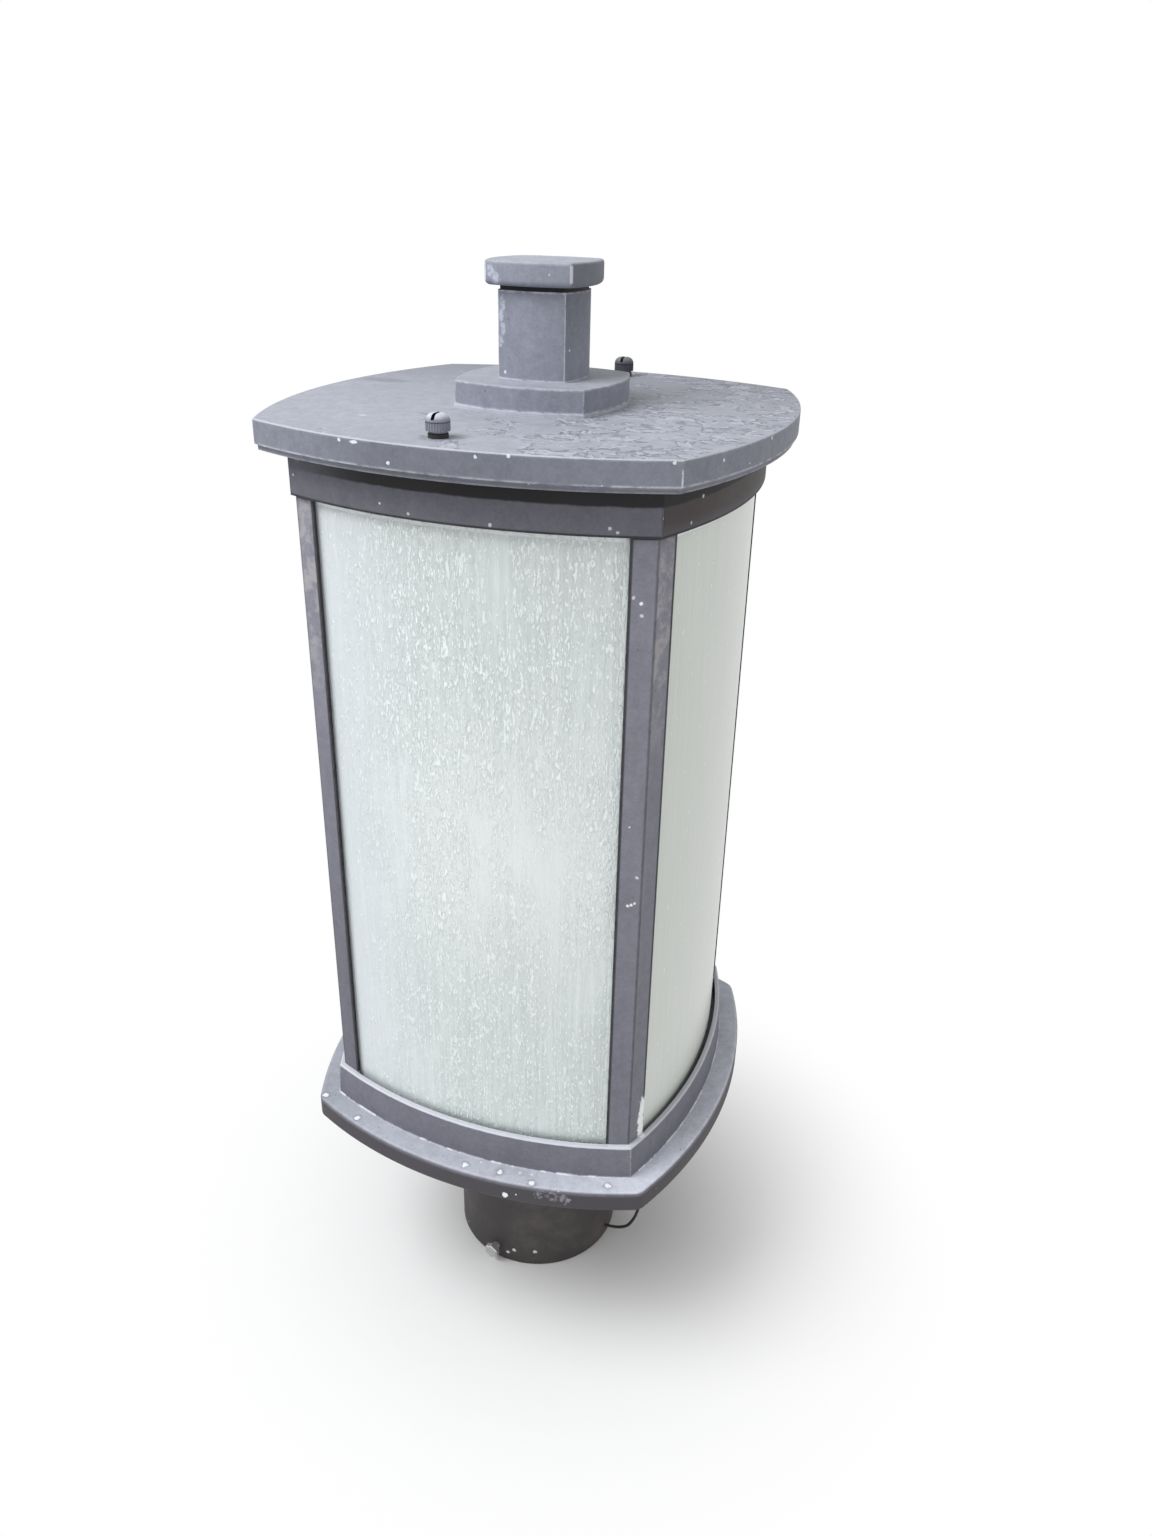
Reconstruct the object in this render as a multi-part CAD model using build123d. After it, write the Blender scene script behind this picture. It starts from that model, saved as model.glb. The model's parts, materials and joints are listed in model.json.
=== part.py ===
"""Post lantern: bowed square cage with bent glass, lift-off roof with finial, round post fitter.

Millimetres, +Z up, front towards -Y. The origin is the centre of the fitter's lower rim.
"""
import os
from math import asin, cos, degrees, radians, sin, sqrt, tan

from build123d import *

# Plan outlines: squares with bowed sides, given as half side at the corner and bow at mid side
roof_half = 82.0
roof_bow = 18.0
roof_overhang = 9.6
post_half = roof_half - roof_overhang
post_bow = 14.0
base_overhang = 9.6
base_half = post_half + base_overhang
base_bow = 18.0

# Heights, from the fitter's rim upwards
fitter_reach = 109.6
skirt_height = 10.1
floor_thickness = 3.0
plinth_height = 16.5
glass_sight = 275.8
ring_height = 25.0

# Base casting
skirt_wall = 3.0
skirt_corner = 7.0
skirt_edge = 1.4
plinth_wall = 2.2
plinth_draft = 1.0
plinth_bevel = 0.7
seat_depth = 10.0
rib_gap = 0.4
rib_thickness = 2.0
rib_drop = 2.0
wire_hole_radius = 20.0

# Post fitter and its screws
post_bore = 77.4
fitter_wall = 3.5
flange_radius = 52.0
flange_thickness = 4.0
fitter_edge = 0.8
fitter_screw_count = 4
fitter_screw_inset = 5.0
fitter_screw_radius = 2.4
fitter_screw_head = 4.4
fitter_screw_head_height = 3.2
set_screw_count = 3
set_screw_azimuth = -100.0
set_screw_height = 8.0
set_screw_radius = 2.0
set_screw_gap = 3.0
set_screw_recess = 0.2
set_screw_flats = 7.0
set_screw_head_height = 2.8
set_screw_chamfer = 0.5

# Corner posts, ring and glass
frame_fit = 0.1
post_thickness = 1.6
post_strip = 9.5
post_edge = 0.6
post_tuck = 20.0
ring_wall = 1.6
ring_flange = 1.6
ring_flange_width = 14.0
glass_gap = 0.4
glass_thickness = 3.0
glass_overlap = 4.0
glass_tuck = 9.0
post_screw_radius = 1.4
post_screw_head = 2.3
post_screw_head_height = 1.8
post_screw_rise = 15.0
post_screw_bite = 1.2

# Glass clips, two on each side
clip_offset = 30.0
clip_width = 12.0
clip_thickness = 0.8
clip_gap = 0.3
clip_foot = 7.0
clip_reach = 10.0
clip_screw_radius = 1.6
clip_screw_head = 2.9
clip_screw_head_height = 1.8

# Roof, gasket and thumb screws
roof_plate = 2.5
roof_lip = 11.4
roof_wall = 2.5
roof_corner = 1.2
roof_edge = 0.8
hem_height = 2.2
hem_depth = 1.2
gasket_thickness = 1.5
gasket_inset = 7.5
gasket_width = 5.0
thumb_offset = 5.0
thumb_inset = 2.4
thumb_boss_radius = 3.9
thumb_boss_length = 10.0
thumb_shank_radius = 2.4
thumb_shank_fit = 0.06
thumb_shank_reach = 8.5
thumb_head_radius = 4.3
thumb_knurl_height = 3.1
thumb_dome_height = 2.8
thumb_neck_radius = 3.2
thumb_neck_height = 0.9
thumb_slot_width = 1.2
thumb_slot_depth = 1.9
knurl_count = 28
knurl_radius = 0.3
thumb_washer_radius = 3.6
thumb_washer_thickness = 1.5
roof_hole_fit = 0.5

# Finial
finial_plate_half = 26.6
finial_plate_bow = 5.5
finial_plate_height = 10.1
finial_bead = 1.2
finial_column_half = 13.8
finial_column_bow = 2.6
finial_column_height = 32.2
finial_neck_inset = 0.8
finial_neck_height = 1.8
finial_cap_half = 17.6
finial_cap_bow = 3.4
finial_cap_height = 8.9
finial_cap_corner = 2.6
finial_cap_edge = 1.4
finial_cap_under = 2.2
finial_edge = 0.5
finial_rod_radius = 3.0
finial_rod_fit = 0.1
finial_rod_bite = 8.0
finial_rod_tail = 1.5
finial_nut_flats = 10.0
finial_nut_height = 5.0
finial_washer_radius = 8.0
finial_washer_thickness = 1.5

# Lampholder, its bracket and the lamp
bracket_width = 24.0
bracket_thickness = 1.8
bracket_rise = 28.0
bracket_span = 52.0
bracket_foot = 16.0
bracket_screw_radius = 1.9
bracket_screw_head = 3.6
bracket_screw_head_height = 2.4
nipple_radius = 5.0
nipple_bore = 3.4
nipple_fit = 0.1
nipple_tail = 7.0
nipple_nut_flats = 14.0
nipple_nut_height = 4.0
holder_radius = 20.0
holder_height = 46.0
holder_floor = 8.0
holder_cavity = 15.0
holder_edge = 2.0
shell_fit = 0.3
shell_wall = 0.7
shell_length = 30.0
contact_radius = 5.0
contact_thickness = 1.0
lamp_base_radius = 13.2
lamp_base_wall = 0.6
lamp_base_length = 25.0
lamp_tip_radius = 4.8
lamp_tip_height = 2.0
bulb_neck = 12.4
bulb_ball = 29.7
bulb_wall = 0.9
bulb_tuck = 3.0
bulb_neck_straight = 6.0
bulb_ball_height = 50.0
bulb_shoulder_angle = -42.0
bulb_flare = 1.5

# Ground lead at the fitter's right side
lead_radius = 0.8
lead_hole_fit = 0.1
lead_end_gap = 0.6
lead_bend_share = 0.45
lead_bends = [(0.4, -0.4, 0.80), (1.5, -1.2, 0.57), (1.6, -2.8, 0.35), (-1.0, -4.6, 0.16)]
lead_entry_inset = 8.0
lead_entry_y = -6.0
lead_entry_level = 6.5
lug_gap = 8.0
lug_thickness = 0.8
lug_ring_radius = 4.0
lug_ring_offset = 6.0
lug_barrel_radius = 1.5
lug_barrel_length = 6.0
ground_screw_radius = 2.0
ground_screw_head = 3.5
ground_screw_head_height = 2.2
screw_fit = 0.1
screw_head_edge = 0.6
seat_fit = 0.05

# Levels that follow from the heights
skirt_bottom = fitter_reach
ledge_top = skirt_bottom + skirt_height
floor_under = ledge_top - floor_thickness
plinth_top = ledge_top + plinth_height
seat_level = plinth_top - seat_depth
ring_bottom = plinth_top + glass_sight
ring_top = ring_bottom + ring_height
flange_under = ring_top - ring_flange
roof_under = ring_top + gasket_thickness
roof_top = roof_under + roof_plate
lip_bottom = roof_top - roof_lip
glass_top = ring_bottom + glass_tuck
fitter_radius = post_bore / 2 + fitter_wall
flange_bottom = floor_under - flange_thickness
fitter_screw_circle = flange_radius - fitter_screw_inset
lug_x = flange_radius + lug_gap
finial_plate_top = roof_top + finial_plate_height
finial_column_top = finial_plate_top + finial_column_height
finial_cap_bottom = finial_column_top + finial_neck_height
finial_cap_top = finial_cap_bottom + finial_cap_height
bracket_top = ledge_top + bracket_rise
holder_bottom = bracket_top + nipple_nut_height
cavity_floor = holder_bottom + holder_floor
lamp_tip = cavity_floor + contact_thickness
lamp_collar = lamp_tip + lamp_tip_height + lamp_base_length

# Layers of the cage, measured inwards from the posts' outer faces
ring_outer_layer = -(ring_wall + frame_fit)
ring_inner_layer = -frame_fit
plinth_layer = -(plinth_wall + frame_fit)
glass_outer_layer = post_thickness + glass_gap
glass_inner_layer = glass_outer_layer + glass_thickness
rib_outer_layer = glass_inner_layer + rib_gap
rib_inner_layer = rib_outer_layer + rib_thickness
thumb_y = post_half + post_bow + frame_fit - thumb_inset


def bow_radius(half, bow):
    """Radius of a side's arc."""
    return (half ** 2 + bow ** 2) / (2 * bow)


def bow_centre(half, bow):
    """Distance of a side's arc centre from the lantern's axis, negative beyond the axis."""
    return half + bow - bow_radius(half, bow)


def inset(half, bow, depth):
    """Half side and bow of the outline that lies the depth inside the given one."""
    centre = bow_centre(half, bow)
    radius = bow_radius(half, bow) - depth
    inner_half = (centre + sqrt(2 * radius ** 2 - centre ** 2)) / 2
    return inner_half, centre + radius - inner_half


def outline(half, bow, corner=0.0):
    """Bowed square as a face, with its corners rounded where a radius is given."""
    corners = [(-half, -half), (half, -half), (half, half), (-half, half)]
    reach = half + bow
    middles = [(0, -reach), (reach, 0), (0, reach), (-reach, 0)]
    arcs = [ThreePointArc(corners[i], middles[i], corners[(i + 1) % 4]) for i in range(4)]
    face = make_face(arcs)
    if corner > 0:
        face = fillet(face.vertices(), corner)
    return face


def cage_outline(layer):
    """Outline of one layer of the cage."""
    return outline(*inset(post_half, post_bow, layer))


def slab(face, low, high):
    """Upright prism of a face between two levels."""
    return Pos(0, 0, low) * extrude(face, high - low)


def rod(radius, low, high):
    """Upright cylinder between two levels."""
    return Pos(0, 0, (low + high) / 2) * Cylinder(radius, high - low)


def hex_nut(flats, hole, low, high):
    """Upright hexagon with a hole."""
    plan = RegularPolygon(flats / 2, 6, major_radius=False)
    return slab(plan, low, high) - rod(hole, low, high)


def block(x_span, y_span, z_span):
    """Box between three pairs of limits."""
    size = [span[1] - span[0] for span in (x_span, y_span, z_span)]
    middle = [(span[0] + span[1]) / 2 for span in (x_span, y_span, z_span)]
    return Pos(*middle) * Box(*size)


def side_place(side, along, layer, level):
    """Place on a side of the cage: local X points outwards, along is the distance from mid side."""
    centre = bow_centre(post_half, post_bow)
    radius = bow_radius(post_half, post_bow)
    turn = degrees(asin(along / radius))
    return Rot(0, 0, 90 * side) * Pos(centre, 0, 0) * Rot(0, 0, turn) * Pos(radius - layer, 0, level)


def fitter_place(azimuth, level):
    """Place on the fitter's axis with local Z pointing outwards at an azimuth."""
    return Pos(0, 0, level) * Rot(0, 0, azimuth) * Rot(0, 90, 0)


# Base casting: pan with ledge, skirt and plinth, and a channel for posts and glass
def make_base():
    skirt = slab(outline(base_half, base_bow, skirt_corner), skirt_bottom, ledge_top)
    skirt = fillet(skirt.edges().group_by(Axis.Z)[-1], skirt_edge)
    pan = outline(*inset(base_half, base_bow, skirt_wall), skirt_corner - skirt_wall)
    skirt -= slab(pan, skirt_bottom, floor_under)
    foot = Pos(0, 0, ledge_top) * cage_outline(plinth_layer - plinth_draft)
    brow = Pos(0, 0, plinth_top) * cage_outline(plinth_layer)
    plinth = loft([foot, brow], ruled=True)
    plinth = chamfer(plinth.edges().group_by(Axis.Z)[-1], plinth_bevel)
    plinth -= slab(cage_outline(rib_inner_layer), ledge_top, plinth_top)
    plinth -= slab(cage_outline(ring_inner_layer), plinth_top - rib_drop, plinth_top)
    channel = slab(cage_outline(ring_inner_layer), seat_level, plinth_top)
    channel -= slab(cage_outline(rib_outer_layer), seat_level, plinth_top)
    base = skirt + (plinth - channel)
    base -= rod(wire_hole_radius, floor_under, ledge_top)
    for turn in fitter_screw_turns():
        hole = rod(fitter_screw_radius + screw_fit, floor_under, ledge_top)
        base -= Rot(0, 0, turn) * Pos(fitter_screw_circle, 0, 0) * hole
    for x in bracket_screw_x():
        base -= Pos(x, 0, 0) * rod(bracket_screw_radius + screw_fit, floor_under, ledge_top)
    base -= Pos(lug_x + lug_ring_offset, 0, 0) * rod(ground_screw_radius + screw_fit, floor_under, ledge_top)
    return base


def fitter_screw_turns():
    """Azimuths of the screws that hold the fitter."""
    step = 360 / fitter_screw_count
    return [step * (i + 0.5) for i in range(fitter_screw_count)]


def bracket_screw_x():
    """Places of the bracket's screws along X."""
    reach = bracket_span / 2 + bracket_foot / 2
    return [-reach, reach]


# Post fitter: round collar, open downwards, welded under a flange plate
def make_fitter():
    collar = rod(fitter_radius, 0, flange_bottom)
    collar = fillet(collar.edges().group_by(Axis.Z)[0], fitter_edge)
    collar -= rod(post_bore / 2, 0, flange_bottom)
    for azimuth in set_screw_turns():
        hole = rod(set_screw_radius + seat_fit, 0, flange_radius)
        collar -= fitter_place(azimuth, set_screw_height) * hole
    lead_hole = Rot(0, 90, 0) * rod(lead_radius + lead_hole_fit, 0, flange_radius)
    return collar - Pos(0, lead_entry_y, lead_entry_level) * lead_hole


def make_fitter_flange():
    flange = rod(flange_radius, flange_bottom, floor_under)
    flange -= rod(wire_hole_radius, flange_bottom, floor_under)
    for turn in fitter_screw_turns():
        hole = rod(fitter_screw_radius + screw_fit, flange_bottom, floor_under)
        flange -= Rot(0, 0, turn) * Pos(fitter_screw_circle, 0, 0) * hole
    return flange


def make_fitter_screws():
    shank = rod(fitter_screw_radius, flange_bottom, ledge_top)
    head = rod(fitter_screw_head, ledge_top, ledge_top + fitter_screw_head_height)
    head = fillet(head.edges().group_by(Axis.Z)[-1], screw_head_edge)
    screw = shank + head
    return [Rot(0, 0, turn) * Pos(fitter_screw_circle, 0, 0) * screw for turn in fitter_screw_turns()]


def set_screw_turns():
    """Azimuths of the set screws."""
    return [set_screw_azimuth + 360 / set_screw_count * i for i in range(set_screw_count)]


def make_set_screw(azimuth):
    tip = post_bore / 2 + set_screw_recess
    seat = fitter_radius + set_screw_gap
    shank = rod(set_screw_radius, tip, seat)
    shank = chamfer(shank.edges().group_by(Axis.Z)[0], set_screw_chamfer)
    plan = RegularPolygon(set_screw_flats / 2, 6, major_radius=False)
    head = slab(plan, seat, seat + set_screw_head_height)
    head = chamfer(head.edges().group_by(Axis.Z)[-1], set_screw_chamfer)
    return fitter_place(azimuth, set_screw_height) * (shank + head)


# Corner posts and top ring
def make_post(corner):
    shell = slab(cage_outline(0), seat_level, ring_bottom + post_tuck)
    shell -= slab(cage_outline(post_thickness), seat_level, ring_bottom + post_tuck)
    inner = post_half - post_strip
    outer = post_half + post_bow
    post = shell & block((inner, outer), (inner, outer), (seat_level, ring_bottom + post_tuck))
    arris = post.edges().filter_by(Axis.Z).sort_by_distance((0, 0, ring_bottom))[-1]
    post = fillet(arris, post_edge)
    for side, sign in ((0, 1), (1, -1)):
        place = side_place(side, sign * post_screw_along(), 0, post_screw_level())
        post -= place * Rot(0, 90, 0) * Cylinder(post_screw_radius + screw_fit, 4 * post_thickness)
    return Rot(0, 0, 90 * corner) * post


def post_screw_along():
    """Distance of the post screws from mid side."""
    return post_half - post_strip / 2


def post_screw_level():
    """Height of the post screws, above the glass."""
    return ring_bottom + post_screw_rise


def make_top_ring():
    ring = slab(cage_outline(ring_outer_layer), ring_bottom, ring_top)
    ring -= slab(cage_outline(ring_inner_layer), ring_bottom, flange_under)
    ring -= slab(cage_outline(ring_flange_width), flange_under, ring_top)
    for place in thumb_places():
        boss = rod(thumb_boss_radius, flange_under - thumb_boss_length, ring_top)
        hole = rod(thumb_shank_radius + thumb_shank_fit, flange_under - thumb_boss_length, ring_top)
        ring += place * boss
        ring -= place * hole
    for side in range(4):
        for sign in (-1, 1):
            screw_hole = rod(post_screw_radius + screw_fit, -post_thickness, frame_fit + post_screw_bite)
            place = side_place(side, sign * post_screw_along(), 0, post_screw_level())
            ring -= place * Rot(0, 90, 0) * screw_hole
            ring -= clip_screw_place(side, sign) * rod(clip_screw_radius + screw_fit, 0, ring_flange)
    return ring


def make_post_screws():
    shank = rod(post_screw_radius, -post_thickness - seat_fit, frame_fit + post_screw_bite - seat_fit)
    head_low = -post_thickness - seat_fit - post_screw_head_height
    head = rod(post_screw_head, head_low, -post_thickness - seat_fit)
    head = fillet(head.edges().group_by(Axis.Z)[0], screw_head_edge)
    screw = Rot(0, 90, 0) * (shank + head)
    places = []
    for side in range(4):
        for sign in (-1, 1):
            places.append(side_place(side, sign * post_screw_along(), 0, post_screw_level()))
    return [place * screw for place in places]


# Bent glass panels with their clips
def make_glass(side):
    panel = slab(cage_outline(glass_outer_layer), seat_level, glass_top)
    panel -= slab(cage_outline(glass_inner_layer), seat_level, glass_top)
    reach = post_half + post_bow
    span = post_half - post_strip + glass_overlap
    panel &= block((0, reach), (-span, span), (seat_level, glass_top))
    return Rot(0, 0, 90 * side) * panel


def clip_layer():
    """Layer of the clips' outer faces."""
    return glass_inner_layer + clip_gap


def clip_screw_place(side, sign):
    """Place of a clip screw at the underside of the ring's flange."""
    layer = clip_layer() + clip_thickness + clip_foot / 2
    return side_place(side, sign * clip_offset, layer, flange_under)


def make_clips():
    width = (-clip_width / 2, clip_width / 2)
    leaf = block((-clip_thickness, 0), width, (glass_top - clip_reach, flange_under))
    foot = block((-clip_thickness - clip_foot, 0), width, (flange_under - clip_thickness, flange_under))
    hole = rod(clip_screw_radius + screw_fit, -clip_thickness, 0)
    clips = []
    for side in range(4):
        for sign in (-1, 1):
            clip = side_place(side, sign * clip_offset, clip_layer(), 0) * (leaf + foot)
            clips.append(clip - clip_screw_place(side, sign) * hole)
    return clips


def make_clip_screws():
    head_top = -clip_thickness
    head = rod(clip_screw_head, head_top - clip_screw_head_height, head_top)
    head = fillet(head.edges().group_by(Axis.Z)[0], screw_head_edge)
    screw = head + rod(clip_screw_radius, head_top, ring_flange - seat_fit)
    return [clip_screw_place(side, sign) * screw for side in range(4) for sign in (-1, 1)]


# Roof cover and gasket
def make_roof():
    roof = slab(outline(roof_half, roof_bow, roof_corner), lip_bottom, roof_top)
    roof = fillet(roof.edges().group_by(Axis.Z)[-1], roof_edge)
    hem_top = lip_bottom + hem_height
    hem_face = outline(*inset(roof_half, roof_bow, hem_depth), roof_corner - hem_depth)
    rebate = slab(outline(roof_half, roof_bow, roof_corner), lip_bottom, hem_top)
    roof -= rebate - slab(hem_face, lip_bottom, hem_top)
    cavity = outline(*inset(roof_half, roof_bow, roof_wall), roof_corner - roof_wall)
    roof -= slab(cavity, lip_bottom, roof_under)
    for place in thumb_places():
        roof -= place * rod(thumb_shank_radius + roof_hole_fit, roof_under, roof_top)
    return roof - rod(finial_rod_radius + finial_rod_fit, roof_under, roof_top)


def make_gasket():
    gasket = slab(cage_outline(gasket_inset), ring_top, roof_under)
    return gasket - slab(cage_outline(gasket_inset + gasket_width), ring_top, roof_under)


# Thumb screws with captive washers
def thumb_places():
    """Places of the front and rear thumb screws."""
    return [Pos(-thumb_offset, -thumb_y, 0), Pos(thumb_offset, thumb_y, 0)]


def make_thumb_screw(place):
    seat = roof_top + thumb_washer_thickness
    knurl_low = seat + thumb_neck_height
    knurl_high = knurl_low + thumb_knurl_height
    dome_top = knurl_high + thumb_dome_height
    grip = rod(thumb_head_radius, knurl_low, dome_top)
    grip = fillet(grip.edges().group_by(Axis.Z)[-1], thumb_dome_height)
    for i in range(knurl_count):
        groove = Pos(thumb_head_radius, 0, 0) * rod(knurl_radius, knurl_low, knurl_high)
        grip -= Rot(0, 0, 360 / knurl_count * i) * groove
    slot = block((-thumb_slot_width / 2, thumb_slot_width / 2), (-thumb_head_radius, thumb_head_radius),
                 (dome_top - thumb_slot_depth, dome_top))
    neck = rod(thumb_neck_radius, seat, knurl_low)
    shank = rod(thumb_shank_radius, ring_top - thumb_shank_reach, seat)
    return place * (shank + neck + (grip - slot))


def make_thumb_washer(place):
    washer = rod(thumb_washer_radius, roof_top, roof_top + thumb_washer_thickness)
    hole = rod(thumb_shank_radius + thumb_shank_fit, roof_top, roof_top + thumb_washer_thickness)
    return place * (washer - hole)


# Finial on its rod
def make_finial_plate():
    plate = slab(outline(finial_plate_half, finial_plate_bow), roof_top, finial_plate_top)
    plate = fillet(plate.edges().group_by(Axis.Z)[-1], finial_edge)
    bead = outline(*inset(finial_plate_half, finial_plate_bow, -finial_bead / 2))
    plate += slab(bead, roof_top, roof_top + finial_bead)
    return plate - rod(finial_rod_radius + finial_rod_fit, roof_top, finial_plate_top)


def make_finial_column():
    column = slab(outline(finial_column_half, finial_column_bow), finial_plate_top, finial_column_top)
    column = fillet(column.edges().filter_by(Axis.Z), finial_edge)
    return column - rod(finial_rod_radius + finial_rod_fit, finial_plate_top, finial_column_top)


def make_finial_cap():
    cap = slab(outline(finial_cap_half, finial_cap_bow, finial_cap_corner), finial_cap_bottom, finial_cap_top)
    cap = fillet(cap.edges().group_by(Axis.Z)[-1], finial_cap_edge)
    cap = fillet(cap.edges().group_by(Axis.Z)[0], finial_cap_under)
    neck = outline(*inset(finial_column_half, finial_column_bow, finial_neck_inset))
    cap += slab(neck, finial_column_top, finial_cap_bottom + finial_cap_under)
    return cap - rod(finial_rod_radius + finial_rod_fit, finial_column_top, finial_rod_top())


def finial_rod_top():
    """Upper end of the finial rod, in the cap's blind hole."""
    return finial_column_top + finial_rod_bite


def finial_nut_bottom():
    """Lower face of the finial nut."""
    return roof_under - finial_washer_thickness - finial_nut_height


def make_finial_rod():
    return rod(finial_rod_radius, finial_nut_bottom() - finial_rod_tail, finial_rod_top())


def make_finial_washer():
    low = roof_under - finial_washer_thickness
    hole = rod(finial_rod_radius + finial_rod_fit, low, roof_under)
    return rod(finial_washer_radius, low, roof_under) - hole


def make_finial_nut():
    high = roof_under - finial_washer_thickness
    return hex_nut(finial_nut_flats, finial_rod_radius + seat_fit, finial_nut_bottom(), high)


# Lampholder on its bracket
def make_bracket():
    half_width = bracket_width / 2
    inner = bracket_span / 2 - bracket_thickness
    outer = bracket_span / 2
    foot = outer + bracket_foot
    y_span = (-half_width, half_width)
    bracket = block((-outer, outer), y_span, (bracket_top - bracket_thickness, bracket_top))
    for sign in (-1, 1):
        leg = sorted((sign * inner, sign * outer))
        pad = sorted((sign * inner, sign * foot))
        bracket += block(leg, y_span, (ledge_top, bracket_top))
        bracket += block(pad, y_span, (ledge_top, ledge_top + bracket_thickness))
    screw_hole = rod(bracket_screw_radius + screw_fit, ledge_top, ledge_top + bracket_thickness)
    for x in bracket_screw_x():
        bracket -= Pos(x, 0, 0) * screw_hole
    return bracket - rod(nipple_radius + nipple_fit, bracket_top - bracket_thickness, bracket_top)


def make_bracket_screws():
    seat = ledge_top + bracket_thickness
    head = rod(bracket_screw_head, seat, seat + bracket_screw_head_height)
    head = fillet(head.edges().group_by(Axis.Z)[-1], screw_head_edge)
    screw = head + rod(bracket_screw_radius, floor_under + seat_fit, seat)
    return [Pos(x, 0, 0) * screw for x in bracket_screw_x()]


def make_nipple():
    low = bracket_top - bracket_thickness - nipple_tail
    high = cavity_floor - contact_thickness
    return rod(nipple_radius, low, high) - rod(nipple_bore, low, high)


def make_nipple_nuts():
    under = bracket_top - bracket_thickness
    hole = nipple_radius + seat_fit
    lower = hex_nut(nipple_nut_flats, hole, under - nipple_nut_height, under)
    upper = hex_nut(nipple_nut_flats, hole, bracket_top, holder_bottom)
    return [lower, upper]


def make_holder():
    high = holder_bottom + holder_height
    body = rod(holder_radius, holder_bottom, high)
    ends = body.edges().group_by(Axis.Z)
    body = fillet(ends[0] + ends[-1], holder_edge)
    body -= rod(holder_cavity, cavity_floor, high)
    return body - rod(nipple_radius + nipple_fit, holder_bottom, cavity_floor - contact_thickness)


def make_screw_shell():
    radius = holder_cavity - shell_fit
    shell = rod(radius, cavity_floor, cavity_floor + shell_length)
    return shell - rod(radius - shell_wall, cavity_floor, cavity_floor + shell_length)


def make_contact():
    return rod(contact_radius, cavity_floor, cavity_floor + contact_thickness)


# Lamp: glass bulb and hollow screw base
def make_lamp_base():
    sleeve_low = lamp_tip + lamp_tip_height
    base = rod(lamp_base_radius, sleeve_low, lamp_collar)
    base -= rod(lamp_base_radius - lamp_base_wall, sleeve_low + lamp_base_wall, lamp_collar)
    return base + rod(lamp_tip_radius, lamp_tip, sleeve_low)


def bulb_solid(neck, ball):
    """Solid of revolution: straight neck, flared shoulder and ball."""
    low = lamp_collar - bulb_tuck
    shoulder_low = lamp_collar + bulb_neck_straight
    middle = lamp_collar + bulb_ball_height
    angle = radians(bulb_shoulder_angle)
    joint = (ball * cos(angle), middle + ball * sin(angle))
    bend = ((neck + joint[0]) / 2 - bulb_flare, (shoulder_low + joint[1]) / 2 + bulb_flare)
    edges = [
        Line((0, low), (neck, low)),
        Line((neck, low), (neck, shoulder_low)),
        ThreePointArc((neck, shoulder_low), bend, joint),
        ThreePointArc(joint, (ball, middle), (0, middle + ball)),
        Line((0, middle + ball), (0, low)),
    ]
    profile = Plane.XZ * make_face(edges)
    return revolve(profile, Axis.Z)


def make_bulb():
    return bulb_solid(bulb_neck, bulb_ball) - bulb_solid(bulb_neck - bulb_wall, bulb_ball - bulb_wall)


# Ground lead between the base's underside and the fitter
def lead_points():
    """Route of the ground lead, from its lug down and into the fitter's wall."""
    start = floor_under - lug_thickness - lug_barrel_length
    points = [(lug_x, 0, start)]
    points += [(lug_x + x, y, start * share) for x, y, share in lead_bends]
    points.append((lug_x - lead_entry_inset, lead_entry_y, lead_entry_level))
    points.append((post_bore / 2 + lead_end_gap, lead_entry_y, lead_entry_level))
    return points


def make_lead():
    points = [Vector(*point) for point in lead_points()]
    runs = [points[i + 1] - points[i] for i in range(len(points) - 1)]
    radii = []
    for before, after in zip(runs, runs[1:]):
        half_turn = radians(before.get_angle(after)) / 2
        radii.append(lead_bend_share * min(before.length, after.length) / tan(half_turn))
    print("ground lead bend radii", [round(radius, 1) for radius in radii])
    path = FilletPolyline(*points, radius=radii)
    section = Plane(origin=path @ 0, z_dir=path % 0) * Circle(lead_radius)
    lead = sweep(section, path=path)
    share = lead.volume / (section.area * path.length)
    print("ground lead length", round(path.length, 2), "volume over section times length", round(share, 4))
    return lead


def make_lug():
    ring_x = lug_x + lug_ring_offset
    low = floor_under - lug_thickness
    lug = Pos(ring_x, 0, 0) * rod(lug_ring_radius, low, floor_under)
    tongue_width = (-lug_barrel_radius, lug_barrel_radius)
    lug += block((lug_x - lug_barrel_radius, ring_x), tongue_width, (low, floor_under))
    lug -= Pos(ring_x, 0, 0) * rod(ground_screw_radius + screw_fit, low, floor_under)
    return lug + Pos(lug_x, 0, 0) * rod(lug_barrel_radius, low - lug_barrel_length, low)


def make_ground_screw():
    seat = floor_under - lug_thickness
    head = rod(ground_screw_head, seat - ground_screw_head_height, seat)
    head = fillet(head.edges().group_by(Axis.Z)[0], screw_head_edge)
    screw = head + rod(ground_screw_radius, seat, ledge_top - seat_fit)
    return Pos(lug_x + lug_ring_offset, 0, 0) * screw


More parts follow.
